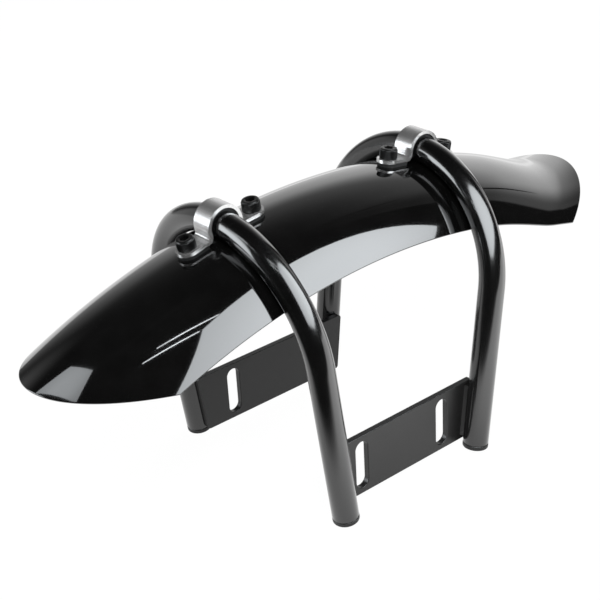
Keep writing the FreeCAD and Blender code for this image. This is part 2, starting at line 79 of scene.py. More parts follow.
FOOT_RISE = (TUBE_RADIUS - PLUG_ROUNDING) * math.sin(SPLAY) + PLUG_ROUNDING * (1 - math.cos(SPLAY))
STAY_HEIGHT = LEG_STRAIGHT + LEG_OFFSET
TOP_REACH = FOOT_HALF + STAY_HEIGHT * math.sin(SPLAY)
TOP_HEIGHT = FOOT_RISE + STAY_HEIGHT * math.cos(SPLAY)
AXIS_RADIUS = CROWN_RADIUS + CLEARANCE + TUBE_RADIUS
WHEEL_HEIGHT = TOP_HEIGHT - math.sqrt(AXIS_RADIUS ** 2 - TOP_REACH ** 2)
CLAMP_ANGLE = math.asin(TOP_REACH / AXIS_RADIUS)
ENDS = {"front": -1, "rear": 1}
print("wheel centre height:", round(WHEEL_HEIGHT, 4), "clamp angle:", round(math.degrees(CLAMP_ANGLE), 2))

# %% [markdown]
# Node trees get hard to read when each node takes four lines of Python. Two small classes help: `Wire` is an
# output socket that takes part in arithmetic, so `1 - mask * 0.5` adds its own Math nodes, and `Bench` is a tree
# with one method that adds any other node. Both serve shader trees and geometry trees.

# %% Wires and benches
class Wire:
    """An output socket that takes part in arithmetic."""

    def __init__(self, bench, socket):
        self.bench = bench
        self.socket = socket

    def out(self, name):
        """Another output of the same node."""
        return Wire(self.bench, self.socket.node.outputs[name])

    def __add__(self, other):
        return self.bench.math("ADD", self, other)

    def __sub__(self, other):
        return self.bench.math("SUBTRACT", self, other)

    def __rsub__(self, other):
        return self.bench.math("SUBTRACT", other, self)

    def __mul__(self, other):
        return self.bench.math("MULTIPLY", self, other)

    def __truediv__(self, other):
        return self.bench.math("DIVIDE", self, other)

    __radd__ = __add__
    __rmul__ = __mul__


class Bench:
    """A node tree with one way to add a node."""

    def __init__(self, tree):
        self.tree = tree
        tree.nodes.clear()

    def node(self, kind, settings=None, sockets=None, output=0):
        made = self.tree.nodes.new(kind)
        for name, value in (settings or {}).items():
            if name == "stops":
                set_stops(made.color_ramp, value)
            else:
                setattr(made, name, value)
        for key, value in (sockets or {}).items():
            if isinstance(value, Wire):
                self.tree.links.new(value.socket, made.inputs[key])
            else:
                made.inputs[key].default_value = value
        return Wire(self, made.outputs[output]) if len(made.outputs) else None

    def math(self, operation, *values):
        return self.node("ShaderNodeMath", {"operation": operation}, dict(enumerate(values)))

    def held(self, value, low, high):
        """A value that stops at a lower and an upper bound."""
        return self.math("MINIMUM", self.math("MAXIMUM", value, low), high)


def set_stops(ramp, stops):
    """Give a colour ramp its stops, each a place and a grey or a colour."""
    while len(ramp.elements) < len(stops):
        ramp.elements.new(1.0)
    for element, (place, shade) in zip(ramp.elements, stops):
        element.position = place
        element.color = (*shade, 1) if isinstance(shade, tuple) else (shade, shade, shade, 1)


# %% Geometry trees into plain meshes
MERGE_DISTANCE = 1e-6
BEVEL_ANGLE = math.radians(50)


def geometry_bench(title, inputs):
    """A geometry tree with named inputs, and the wire of each."""
    tree = bpy.data.node_groups.new(title, "GeometryNodeTree")
    tree.interface.new_socket("Geometry", in_out="OUTPUT", socket_type="NodeSocketGeometry")
    for name, kind in inputs.items():
        tree.interface.new_socket(name, in_out="INPUT", socket_type="NodeSocket" + kind)
    bench = Bench(tree)
    entry = bench.node("NodeGroupInput")
    return bench, {name: entry.out(name) for name in inputs}


def close_bench(bench, geometry, finish):
    """End a geometry tree in real geometry with a smooth surface and its finish."""
    solid = bench.node("GeometryNodeRealizeInstances", None, {"Geometry": geometry})
    smooth = bench.node("GeometryNodeSetShadeSmooth", None, {0: solid})
    coated = bench.node("GeometryNodeSetMaterial", None, {"Geometry": smooth, "Material": finish})
    bench.node("NodeGroupOutput", None, {"Geometry": coated})


def plain_mesh(piece):
    """Replace a piece's mesh by what its modifiers make of it, and remove them."""
    graph = bpy.context.evaluated_depsgraph_get()
    made = bpy.data.meshes.new_from_object(
        piece.evaluated_get(graph), preserve_all_data_layers=True, depsgraph=graph)
    piece.modifiers.clear()
    piece.data = made
    return piece


def grow(title, bench, values):
    """Run a geometry tree and keep its result as a plain mesh that sits at the origin."""
    piece = bpy.data.objects.new(title, bpy.data.meshes.new(title))
    bpy.context.scene.collection.objects.link(piece)
    modifier = piece.modifiers.new("grow", "NODES")
    modifier.node_group = bench.tree
    for item in bench.tree.interface.items_tree:
        if item.in_out == "INPUT":
            modifier[item.identifier] = values[item.name]
    plain_mesh(piece)
    print(title, len(piece.data.polygons), "faces")
    return piece


def face_up(piece):
    """Merge doubled points and turn a sheet's faces so that most of them look upwards."""
    work = bmesh.new()
    work.from_mesh(piece.data)
    bmesh.ops.remove_doubles(work, verts=work.verts, dist=MERGE_DISTANCE)
    bmesh.ops.recalc_face_normals(work, faces=work.faces)
    lean = sum(face.normal.z * face.calc_area() for face in work.faces)
    if lean < 0:
        bmesh.ops.reverse_faces(work, faces=work.faces)
    work.to_mesh(piece.data)
    work.free()


def thicken(piece, thickness, offset, edge, segments):
    """Give a sheet its gauge and break its edges."""
    gauge = piece.modifiers.new("gauge", "SOLIDIFY")
    gauge.thickness = thickness
    gauge.offset = offset
    gauge.use_even_offset = True
    break_edges(piece, edge, segments)


def break_edges(piece, edge, segments):
    """Round the sharp edges of a piece and keep its faces smooth."""
    rounding = piece.modifiers.new("edge", "BEVEL")
    rounding.width = edge
    rounding.segments = segments
    rounding.limit_method = "ANGLE"
    rounding.angle_limit = BEVEL_ANGLE
    rounding.harden_normals = True
    plain_mesh(piece)


def fit_out(piece, slot, *nodes):
    """Let a finished piece ride on the part in place of its CAD nodes."""
    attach(piece, "root")
    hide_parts(*nodes)


# %% [markdown]
# Finishes first, so that each piece can take its own when it is made. Paint on a fender is a thin hard shell:
# almost black, with a clear coat that has a trace of orange peel. The peel is a fine Bump, far too small to see
# as bumps, that only makes reflections waver a little.

# %% Paint finishes
MOTTLE_SCALE = 60.0
PEEL_SCALE = 700.0
PEEL_DEPTH = 0.02 * MM
PEEL_STRENGTH = 0.03
CLOUD_SCALE = 25.0
POWDER_SCALE = 2400.0
POWDER_DEPTH = 0.03 * MM


def new_finish(name):
    material = bpy.data.materials.new(name)
    material.use_nodes = True
    return material, Bench(material.node_tree)


def noise(bench, scale, detail=3.0, stretch=(1.0, 1.0, 1.0)):
    """Noise on the piece's own coordinates, so that it stays with the piece."""
    spot = bench.node("ShaderNodeTexCoord").out("Object")
    spread = bench.node("ShaderNodeMapping", None, {"Vector": spot, "Scale": stretch})
    return bench.node("ShaderNodeTexNoise", None, {"Vector": spread, "Scale": scale, "Detail": detail})


def shade(bench, factor, *stops):
    """A colour ramp over a factor."""
    return bench.node("ShaderNodeValToRGB", {"stops": stops}, {"Fac": factor})


def relief(bench, height, depth, strength):
    return bench.node("ShaderNodeBump", None, {"Height": height, "Distance": depth, "Strength": strength})


def lay(bench, sockets):
    surface = bench.node("ShaderNodeBsdfPrincipled", None, sockets)
    bench.node("ShaderNodeOutputMaterial", None, {"Surface": surface})


def gloss_paint(name, dark, light, rough, coat):
    """Gloss paint under a clear coat: a trace of mottle, a trace of orange peel."""
    material, bench = new_finish(name)
    mottle = noise(bench, MOTTLE_SCALE)
    lay(bench, {
        "Base Color": shade(bench, mottle, (0.3, dark), (0.7, light)),
        "Roughness": rough + mottle * 0.03,
        "Coat Weight": 1.0,
        "Coat Roughness": coat,
        "Normal": relief(bench, noise(bench, PEEL_SCALE, 1.0), PEEL_DEPTH, PEEL_STRENGTH)})
    return material


blade_paint = gloss_paint("blade_gloss_black", dark=0.003, light=0.005, rough=0.05, coat=0.02)
tube_paint = gloss_paint("tube_gloss_black", dark=0.002, light=0.004, rough=0.18, coat=0.12)


def satin_paint(name):
    """Satin powder coat on the plates: a fine even grain that softens every reflection."""
    material, bench = new_finish(name)
    grain = noise(bench, POWDER_SCALE, 2.0)
    cloud = noise(bench, CLOUD_SCALE)
    lay(bench, {
        "Base Color": shade(bench, cloud, (0.3, 0.014), (0.7, 0.019)),
        "Roughness": 0.30 + grain * 0.10,
        "Normal": relief(bench, grain, POWDER_DEPTH, 0.15)})
    return material


plate_paint = satin_paint("plate_satin_black")
print("paints:", blade_paint.name, tube_paint.name, plate_paint.name)

# %% [markdown]
# The clamps are chromed strip, a little satin, so they mirror what stands around them softly, with faint hairlines
# in the chrome. The screws are black oxide, which is thin and shows the steel in small spots. Rubber and the end
# plugs swallow light.

# %% Metal, rubber and plastic finishes
HAIRLINE_SCALE = 900.0
HAIRLINE_STRETCH = (1.0, 0.05, 1.0)
OXIDE_SCALE = 900.0
BLOOM_SCALE = 250.0
MATT_DEPTH = 0.05 * MM


def chrome_finish():
    material, bench = new_finish("strap_chrome")
    lines = noise(bench, HAIRLINE_SCALE, 2.0, HAIRLINE_STRETCH)
    lay(bench, {
        "Base Color": shade(bench, lines, (0.35, 0.58), (0.65, 0.66)),
        "Metallic": 0.78,
        "Roughness": 0.22 + lines * 0.06})
    return material


def oxide_finish():
    material, bench = new_finish("screw_black_oxide")
    wear = noise(bench, OXIDE_SCALE)
    lay(bench, {
        "Base Color": shade(bench, wear, (0.35, 0.004), (0.65, 0.008), (0.85, 0.02)),
        "Metallic": 0.2,
        "Roughness": 0.28 + wear * 0.12})
    return material


def zinc_finish():
    material, bench = new_finish("nut_zinc")
    bloom = noise(bench, BLOOM_SCALE, 4.0)
    lay(bench, {
        "Base Color": shade(bench, bloom, (0.3, (0.50, 0.51, 0.53)), (0.75, (0.68, 0.68, 0.67))),
        "Metallic": 1.0,
        "Roughness": 0.24 + bloom * 0.18})
    return material


def matt_finish(name, dark, light, rough, grain_scale):
    """Rubber and moulded plastic: dull, with a fine grain."""
    material, bench = new_finish(name)
    grain = noise(bench, grain_scale, 4.0)
    lay(bench, {
        "Base Color": shade(bench, grain, (0.3, dark), (0.75, light)),
        "Roughness": rough + grain * 0.15,
        "Normal": relief(bench, grain, MATT_DEPTH, 0.25)})
    return material


strap_chrome = chrome_finish()
screw_oxide = oxide_finish()
nut_zinc = zinc_finish()
clamp_rubber = matt_finish("clamp_rubber", dark=0.002, light=0.005, rough=0.75, grain_scale=900.0)
plug_plastic = matt_finish("plug_plastic", dark=0.006, light=0.012, rough=0.40, grain_scale=1400.0)
print("finishes:", len(bpy.data.materials))

# %% [markdown]
# The blade is a sheet that follows a rule: an arched section swung about the wheel, then drawn straight for
# a short run, then swung the other way about a pivot above it for the flared rear end. A Grid gives two parameters,
# one along and one across, and arithmetic turns them into places. Each end is cut by a slanted plane, and where that
# cut meets a given line of the sheet has a closed formula, so the grid's rows stretch from cut to cut and the rim
# comes out clean. A slight dip and a lip that turns up follow the rear rim, two millimetres at most, because the
# photograph's reflections bend there.

# %% Blade tree
def cut_angle(bench, radius, level, slope):
    """The angle from upright at which a circle of a given radius reaches a slanted cut."""
    return bench.math("ARCCOSINE", level * math.cos(slope) / radius) - slope


def lip_kick(bench, left):
    """How far the sheet moves off its rule, for the run that is left before the rear rim."""
    curl = bench.held(LIP_REACH - left, 0.0, LIP_REACH - LIP_FLAT)
    kick = curl * curl / (2 * (LIP_REACH - LIP_FLAT)) + bench.math("MAXIMUM", LIP_FLAT - left, 0.0)
    dip = bench.held((DIP_REACH - left) / (DIP_REACH - LIP_REACH), 0.0, 1.0)
    return kick * math.tan(LIP_SLOPE) - dip * dip * (3 - dip * 2) * LIP_DIP


def blade_bench():
    bench, size = geometry_bench("blade sheet", {
        "Crown Radius": "Float", "Section Radius": "Float", "Width": "Float", "Straight Run": "Float",
        "Flare Radius": "Float", "Flare Start": "Float", "Wheel Height": "Float", "Front Level": "Float",
        "Rear Level": "Float", "Flare Level": "Float", "Steps Along": "Int", "Steps Across": "Int"})
    grid = bench.node("GeometryNodeMeshGrid", None, {
        "Size X": 1.0, "Size Y": 1.0, "Vertices X": size["Steps Along"], "Vertices Y": size["Steps Across"]})
    spot = bench.node("ShaderNodeSeparateXYZ", None, {0: bench.node("GeometryNodeInputPosition")})
    along, across = spot.out("X") + 0.5, spot.out("Y") * 2
    lean = across * bench.math("ARCSINE", size["Width"] * 0.5 / size["Section Radius"])
    circle = size["Crown Radius"] - size["Section Radius"] * (1 - bench.math("COSINE", lean))
    drop = size["Crown Radius"] + size["Flare Radius"] - circle
    sine, cosine = bench.math("SINE", size["Flare Start"]), bench.math("COSINE", size["Flare Start"])
    rise = math.tan(REAR_TRIM[2])
    first = 0 - cut_angle(bench, circle, size["Front Level"], FRONT_TRIM[2])
    last = bench.math("MINIMUM", cut_angle(bench, circle, size["Rear Level"], REAR_TRIM[2]), size["Flare Start"])
    straight = (circle * (cosine - sine * rise) - size["Rear Level"]) / (sine + cosine * rise)
    straight = bench.held(straight, 0.0, size["Straight Run"])
    flared = size["Flare Start"] - cut_angle(bench, drop, size["Flare Level"], REAR_TRIM[2])
    flared = bench.math("MAXIMUM", flared, 0.0)
    swung = (last - first) * size["Crown Radius"]
    whole = swung + straight + flared * size["Flare Radius"]
    run = along * whole
    swing = first + bench.math("MINIMUM", run, swung) / size["Crown Radius"]
    flat = bench.held(run - swung, 0.0, straight)
    tilt = size["Flare Start"] - bench.math("MAXIMUM", run - swung - straight, 0.0) / size["Flare Radius"]
    kick = lip_kick(bench, whole - run)
    pitch = swing + tilt - size["Flare Start"]
    place = bench.node("ShaderNodeCombineXYZ", None, {
        "X": circle * bench.math("SINE", swing) + flat * cosine + drop * (sine - bench.math("SINE", tilt))
        + kick * bench.math("SINE", pitch),
        "Y": size["Section Radius"] * bench.math("SINE", lean),
        "Z": size["Wheel Height"] + circle * bench.math("COSINE", swing) - flat * sine
        + drop * (cosine - bench.math("COSINE", tilt)) + kick * bench.math("COSINE", pitch)})
    sheet = bench.node("GeometryNodeSetPosition", None, {"Geometry": grid, "Position": place})
    close_bench(bench, sheet, blade_paint)
    return bench


# %% Blade
def cut_level(trim):
    """How high a cut's line passes over the wheel's centre."""
    reach, height, slope = trim
    return height - WHEEL_HEIGHT - reach * math.tan(slope)


def flare_level():
    """How far the rear cut's line passes under the flare's pivot."""
    reach, height, slope = REAR_TRIM
    pivot = CROWN_RADIUS + FLARE_RADIUS
    pivot_reach = pivot * math.sin(FLARE_START) + REAR_STRAIGHT * math.cos(FLARE_START)
    pivot_height = WHEEL_HEIGHT + pivot * math.cos(FLARE_START) - REAR_STRAIGHT * math.sin(FLARE_START)
    return pivot_height - height - (pivot_reach - reach) * math.tan(slope)


blade = grow("blade_sheet", blade_bench(), {
    "Crown Radius": CROWN_RADIUS, "Section Radius": SECTION_RADIUS, "Width": BLADE_WIDTH,
    "Straight Run": REAR_STRAIGHT, "Flare Radius": FLARE_RADIUS, "Flare Start": FLARE_START,
    "Wheel Height": WHEEL_HEIGHT, "Front Level": cut_level(FRONT_TRIM), "Rear Level": cut_level(REAR_TRIM),
    "Flare Level": flare_level(), "Steps Along": 300, "Steps Across": 90})
face_up(blade)
thicken(blade, BLADE_THICKNESS, offset=-1.0, edge=BLADE_EDGE, segments=3)
fit_out(blade, "blade_paint", "fender_blade")

# %% [markdown]
# A stay is one tube bent to an upside-down U. Its route is three runs, leg, half circle, leg, and with a clamp
# on each run the same arithmetic gives a point for any distance along it. Curve to Mesh sweeps a circle along
# those points, and the whole U then leans away from the middle.

# %% Stay tree
def stay_bench():
    bench, size = geometry_bench("bent tube", {
        "Tube Radius": "Float", "Leg Offset": "Float", "Leg Low": "Float", "Leg High": "Float",
        "Lean": "Float", "Foot Reach": "Float", "Foot Rise": "Float", "Points": "Int", "Sides": "Int"})
    leg = size["Leg High"] - size["Leg Low"]
    bend = size["Leg Offset"] * math.pi
    row = bench.node("GeometryNodeMeshLine", None, {"Count": size["Points"]})
    place = bench.node("GeometryNodeInputIndex") / (size["Points"] - 1) * (leg * 2 + bend)
    climb = bench.math("MINIMUM", place, leg)
    turn = bench.held((place - leg) / size["Leg Offset"], 0.0, math.pi)
    fall = bench.math("MAXIMUM", place - leg - bend, 0.0)
    route = bench.node("ShaderNodeCombineXYZ", None, {
        "Y": 0 - size["Leg Offset"] * bench.math("COSINE", turn),
        "Z": size["Leg Low"] + climb + size["Leg Offset"] * bench.math("SINE", turn) - fall})
    bent = bench.node("GeometryNodeSetPosition", None, {"Geometry": row, "Position": route})
    path = bench.node("GeometryNodeMeshToCurve", None, {0: bent})
    ring = bench.node("GeometryNodeCurvePrimitiveCircle", None, {
        "Radius": size["Tube Radius"], "Resolution": size["Sides"]})
    tube = bench.node("GeometryNodeCurveToMesh", None, {"Curve": path, "Profile Curve": ring, "Fill Caps": True})
    stand = bench.node("GeometryNodeTransform", None, {
        "Geometry": tube,
        "Translation": bench.node("ShaderNodeCombineXYZ", None, {"X": size["Foot Reach"], "Z": size["Foot Rise"]}),
        "Rotation": bench.node("ShaderNodeCombineXYZ", None, {"Y": size["Lean"]})})
    close_bench(bench, stand, tube_paint)
    return bench


# %% Stays
bent_tube = stay_bench()
for name, end in ENDS.items():
    stay = grow(f"{name}_stay_tube", bent_tube, {
        "Tube Radius": TUBE_RADIUS, "Leg Offset": LEG_OFFSET, "Leg Low": PLUG_FLANGE, "Leg High": LEG_STRAIGHT,
        "Lean": end * SPLAY, "Foot Reach": end * FOOT_HALF, "Foot Rise": FOOT_RISE, "Points": 260, "Sides": 72})
    break_edges(stay, edge=TUBE_EDGE, segments=2)
    fit_out(stay, "tube_paint", f"{name}_stay")

# %% [markdown]
# A clamp strap is a strip bent over the tube, with a foot on either side that lies along the blade and ends in
# a half circle round its screw. Again one rule gives the whole strip: from the top of the arch outwards come a
# quarter circle, a short drop, a tight bend and the foot, and the strip narrows over the last half width.

# %% Strap sizes
STRAP_THICKNESS = 2.4 * MM
STRAP_WIDTH = 16.5 * MM
STRAP_BEND = 1.5 * MM
STRAP_EDGE = 0.35 * MM
LINER_THICKNESS = 2.0 * MM
PAD_THICKNESS = 2.4 * MM
SCREW_OFFSET = 27.5 * MM

SCREW_SWING = SCREW_OFFSET / CROWN_RADIUS
ARCH_RADIUS = TUBE_RADIUS + LINER_THICKNESS + CLEARANCE + STRAP_THICKNESS / 2
FOOT_BEND = STRAP_BEND + STRAP_THICKNESS / 2
FOOT_LEVEL = CROWN_RADIUS + PAD_THICKNESS + STRAP_THICKNESS / 2
BEND_SWEEP = math.pi / 2 - SCREW_SWING
FOOT_RUN = (FOOT_LEVEL * math.sin(SCREW_SWING) - ARCH_RADIUS) / math.cos(SCREW_SWING)
CORNER_LEVEL = FOOT_LEVEL * math.cos(SCREW_SWING) + FOOT_RUN * math.sin(SCREW_SWING)
BEND_TRIM = FOOT_BEND * math.tan(BEND_SWEEP / 2)
DROP_RUN = AXIS_RADIUS - CORNER_LEVEL - BEND_TRIM
FOOT_LENGTH = FOOT_RUN - BEND_TRIM + STRAP_WIDTH / 2
print("strap drop:", round(DROP_RUN, 5), "foot:", round(FOOT_LENGTH, 5))


# %% Strap tree
def strap_bench():
    bench, size = geometry_bench("clamp strap", {
        "Arch Radius": "Float", "Drop": "Float", "Bend Radius": "Float", "Bend Sweep": "Float",
        "Foot Length": "Float", "Width": "Float", "Axis Radius": "Float", "Wheel Height": "Float",
        "Clamp Angle": "Float", "Steps Along": "Int", "Steps Across": "Int"})
    grid = bench.node("GeometryNodeMeshGrid", None, {
        "Size X": 2.0, "Size Y": 1.0, "Vertices X": size["Steps Along"], "Vertices Y": size["Steps Across"]})
    spot = bench.node("ShaderNodeSeparateXYZ", None, {0: bench.node("GeometryNodeInputPosition")})
    side = bench.math("SIGN", spot.out("X"))
    quarter = size["Arch Radius"] * (math.pi / 2)
    bend = size["Bend Radius"] * size["Bend Sweep"]
    whole = quarter + size["Drop"] + bend + size["Foot Length"]
    run = bench.math("ABSOLUTE", spot.out("X")) * whole
    arch = bench.math("MINIMUM", run / size["Arch Radius"], math.pi / 2)
    drop = bench.held(run - quarter, 0.0, size["Drop"])
    curl = bench.held((run - quarter - size["Drop"]) / size["Bend Radius"], 0.0, size["Bend Sweep"])
    foot = bench.math("MAXIMUM", run - quarter - size["Drop"] - bend, 0.0)
    out = size["Arch Radius"] * bench.math("SINE", arch)
    out = out + size["Bend Radius"] * (1 - bench.math("COSINE", curl))
    out = (out + foot * bench.math("SINE", size["Bend Sweep"])) * side
    up = size["Axis Radius"] + size["Arch Radius"] * bench.math("COSINE", arch) - drop
    up = up - size["Bend Radius"] * bench.math("SINE", curl) - foot * bench.math("COSINE", size["Bend Sweep"])
    half = size["Width"] * 0.5
    past = bench.math("MAXIMUM", run - whole + half, 0.0)
    room = bench.math("SQRT", bench.math("MAXIMUM", half * half - past * past, 0.0))
    turn, lift = size["Clamp Angle"], size["Wheel Height"]
    place = bench.node("ShaderNodeCombineXYZ", None, {
        "X": out * bench.math("COSINE", turn) + up * bench.math("SINE", turn),
        "Y": spot.out("Y") * 2 * room,
        "Z": lift + up * bench.math("COSINE", turn) - out * bench.math("SINE", turn)})
    strip = bench.node("GeometryNodeSetPosition", None, {"Geometry": grid, "Position": place})
    close_bench(bench, strip, strap_chrome)
    return bench


# %% Straps
strap_strip = strap_bench()
for name, end in ENDS.items():
    strap = grow(f"{name}_strap_strip", strap_strip, {
        "Arch Radius": ARCH_RADIUS, "Drop": DROP_RUN, "Bend Radius": FOOT_BEND, "Bend Sweep": BEND_SWEEP,
        "Foot Length": FOOT_LENGTH, "Width": STRAP_WIDTH, "Axis Radius": AXIS_RADIUS,
        "Wheel Height": WHEEL_HEIGHT, "Clamp Angle": end * CLAMP_ANGLE, "Steps Along": 361, "Steps Across": 25})
    face_up(strap)
    thicken(strap, STRAP_THICKNESS, offset=0.0, edge=STRAP_EDGE, segments=3)
    fit_out(strap, "strap_chrome", f"{name}_clamp_strap")

# %% [markdown]
# Screws, washers and nuts are turned pieces with six-sided parts. One function skins a stack of rings that all
# have the same number of points: a round ring, a knurled ring, whose points go in and out by turns, or
# a six-sided ring. The mesh is made once, and a geometry tree copies it to the four spokes where the screws are.

# %% Turned meshes
RING_POINTS = 96


def ring(height, radius, kind="round", depth=0.0):
    """One ring of points: round, knurled, or six-sided with `radius` as half the width across flats."""
    points = []
    for index in range(RING_POINTS):
        angle = 2 * math.pi * index / RING_POINTS
        reach = radius
        if kind == "knurl":
            reach = radius - depth * (index % 2)
        if kind == "hexagon":
            reach = radius / math.cos((angle % (math.pi / 3)) - math.pi / 6)
        points.append((reach * math.cos(angle), reach * math.sin(angle), height))
    return points


def turned_mesh(name, rings, ends=(), closed=False):
    """Skin a stack of rings. `ends` holds the heights of the points that close the first and the last ring."""
    points = [point for stack in rings for point in stack]
    faces = []
    count = len(rings)
    for level in range(count if closed else count - 1):
        low, high = level * RING_POINTS, (level + 1) % count * RING_POINTS
        for index in range(RING_POINTS):
            following = (index + 1) % RING_POINTS
            faces.append((low + index, low + following, high + following, high + index))
    for height, level in zip(ends, (0, count - 1)):
        points.append((0.0, 0.0, height))
        first = level * RING_POINTS
        for index in range(RING_POINTS):
            faces.append((first + index, first + (index + 1) % RING_POINTS, len(points) - 1))
    mesh = bpy.data.meshes.new(name)
    mesh.from_pydata(points, [], faces)
    work = bmesh.new()
    work.from_mesh(mesh)
    bmesh.ops.recalc_face_normals(work, faces=work.faces)
    work.to_mesh(mesh)
    work.free()
    return mesh


# %% Screw, washer and nut meshes
SHANK_RADIUS = 4.0 * MM
HEAD_RADIUS = 6.5 * MM
HEAD_HEIGHT = 8.0 * MM
HEAD_CHAMFER = 0.8 * MM
SOCKET_HALF = 3.0 * MM
SOCKET_DEPTH = 4.0 * MM
KNURL_DEPTH = 0.35 * MM
THREAD_PITCH = 1.25 * MM
THREAD_DEPTH = 0.6 * MM
THREAD_TURNS = 9
WASHER_RADIUS = 8.0 * MM
WASHER_THICKNESS = 1.6 * MM
HOLE_RADIUS = 4.3 * MM
NUT_HALF = 6.5 * MM
NUT_HEX = 6.2 * MM
COLLAR_RADIUS = 5.6 * MM
COLLAR_HEIGHT = 1.8 * MM
STAND_OUT = 2.0 * MM
EDGE = 0.3 * MM
CRISP_ANGLE = math.radians(28)

INNER_SECTION = SECTION_RADIUS - BLADE_THICKNESS
WASHER_DROP = INNER_SECTION - math.sqrt(INNER_SECTION ** 2 - WASHER_RADIUS ** 2) + 2 * CLEARANCE
HEAD_SEAT = CROWN_RADIUS + PAD_THICKNESS + STRAP_THICKNESS
WASHER_SEAT = CROWN_RADIUS - BLADE_THICKNESS - WASHER_DROP
NUT_SEAT = WASHER_SEAT - WASHER_THICKNESS
SCREW_LENGTH = HEAD_SEAT - NUT_SEAT + NUT_HEX + COLLAR_HEIGHT + STAND_OUT

thread = []
for turn in range(THREAD_TURNS):
    level = HEAD_CHAMFER - SCREW_LENGTH + turn * THREAD_PITCH
    thread += [ring(level, SHANK_RADIUS), ring(level + THREAD_PITCH / 2, SHANK_RADIUS - THREAD_DEPTH)]
screw_mesh = turned_mesh("cap_screw", [
    ring(-SCREW_LENGTH, SHANK_RADIUS - HEAD_CHAMFER), *thread,
    ring(HEAD_CHAMFER - SCREW_LENGTH + THREAD_TURNS * THREAD_PITCH, SHANK_RADIUS), ring(0, SHANK_RADIUS),
    ring(0, HEAD_RADIUS - EDGE), ring(EDGE, HEAD_RADIUS - KNURL_DEPTH),
    ring(2 * EDGE, HEAD_RADIUS, "knurl", KNURL_DEPTH),
    ring(HEAD_HEIGHT - 2 * HEAD_CHAMFER, HEAD_RADIUS, "knurl", KNURL_DEPTH),
    ring(HEAD_HEIGHT - 1.6 * HEAD_CHAMFER, HEAD_RADIUS - KNURL_DEPTH),
    ring(HEAD_HEIGHT - HEAD_CHAMFER, HEAD_RADIUS - KNURL_DEPTH),
    ring(HEAD_HEIGHT - HEAD_CHAMFER / 4, HEAD_RADIUS - HEAD_CHAMFER),
    ring(HEAD_HEIGHT, HEAD_RADIUS - 2 * HEAD_CHAMFER),
    ring(HEAD_HEIGHT, SOCKET_HALF * 1.3), ring(HEAD_HEIGHT - EDGE, SOCKET_HALF, "hexagon"),
    ring(HEAD_HEIGHT - SOCKET_DEPTH, SOCKET_HALF, "hexagon")],
    (-SCREW_LENGTH, HEAD_HEIGHT - SOCKET_DEPTH - 2 * EDGE))
washer_mesh = turned_mesh("plain_washer", [
    ring(0, HOLE_RADIUS), ring(0, WASHER_RADIUS - EDGE), ring(-EDGE, WASHER_RADIUS),
    ring(EDGE - WASHER_THICKNESS, WASHER_RADIUS), ring(-WASHER_THICKNESS, WASHER_RADIUS - EDGE),
    ring(-WASHER_THICKNESS, HOLE_RADIUS)], closed=True)
nut_mesh = turned_mesh("lock_nut", [
    ring(0, SHANK_RADIUS + CLEARANCE), ring(0, NUT_HALF - EDGE), ring(-2 * EDGE, NUT_HALF, "hexagon"),
    ring(2 * EDGE - NUT_HEX, NUT_HALF, "hexagon"), ring(-NUT_HEX, NUT_HALF - EDGE), ring(-NUT_HEX, COLLAR_RADIUS),
    ring(-NUT_HEX - COLLAR_HEIGHT / 2, COLLAR_RADIUS), ring(-NUT_HEX - COLLAR_HEIGHT, COLLAR_RADIUS - 2 * EDGE),
    ring(-NUT_HEX - COLLAR_HEIGHT, SHANK_RADIUS + CLEARANCE)], closed=True)
print("screw", len(screw_mesh.polygons), "washer", len(washer_mesh.polygons), "nut", len(nut_mesh.polygons))


# %% Copies on the four spokes
def spoke_bench(title, finish):
    """Copy one mesh to the four screw spokes, two on either side of each clamp."""
    bench, size = geometry_bench(title, {
        "Piece": "Object", "Seat Radius": "Float", "Clamp Angle": "Float", "Screw Swing": "Float",
        "Wheel Height": "Float"})
    row = bench.node("GeometryNodeMeshLine", None, {"Count": 4})
    index = bench.node("GeometryNodeInputIndex")
    end = bench.math("FLOOR", index / 2) * 2 - 1
    step = bench.math("MODULO", index, 2.0) * 2 - 1
    turn = end * size["Clamp Angle"] + step * size["Screw Swing"]
    spokes = bench.node("GeometryNodeSetPosition", None, {
        "Geometry": row,
        "Position": bench.node("ShaderNodeCombineXYZ", None, {
            "X": size["Seat Radius"] * bench.math("SINE", turn),
            "Z": size["Wheel Height"] + size["Seat Radius"] * bench.math("COSINE", turn)})})
    piece = bench.node("GeometryNodeObjectInfo", None, {"Object": size["Piece"]}).out("Geometry")
    copies = bench.node("GeometryNodeInstanceOnPoints", None, {
        "Points": spokes, "Instance": piece, "Rotation": bench.node("ShaderNodeCombineXYZ", None, {"Y": turn})})
    close_bench(bench, copies, finish)
    return bench


def set_of_four(title, mesh, seat, finish, slot, node_end):
    """Place four copies of a mesh, keep its edges crisp, and let them stand for their CAD nodes."""
    pattern = bpy.data.objects.new(title + "_pattern", mesh)
    piece = grow(title, spoke_bench(title, finish), {
        "Piece": pattern, "Seat Radius": seat, "Clamp Angle": CLAMP_ANGLE, "Screw Swing": SCREW_SWING,
        "Wheel Height": WHEEL_HEIGHT})
    bpy.data.objects.remove(pattern)
    piece.data.set_sharp_from_angle(angle=CRISP_ANGLE)
    nodes = [f"{end}_clamp_{step}_{node_end}" for end in ENDS for step in ("fore", "aft")]
    fit_out(piece, slot, *nodes)


set_of_four("cap_screws", screw_mesh, HEAD_SEAT, screw_oxide, "screw_steel", "screw")
set_of_four("plain_washers", washer_mesh, WASHER_SEAT, nut_zinc, "nut_steel", "washer")
set_of_four("lock_nuts", nut_mesh, NUT_SEAT, nut_zinc, "nut_steel", "nut")

# %% [markdown]
# The plates, welds, plugs, liners and pads have the right shape already, so they stay as they are and only take
# a finish in place of the plain one that came with them.

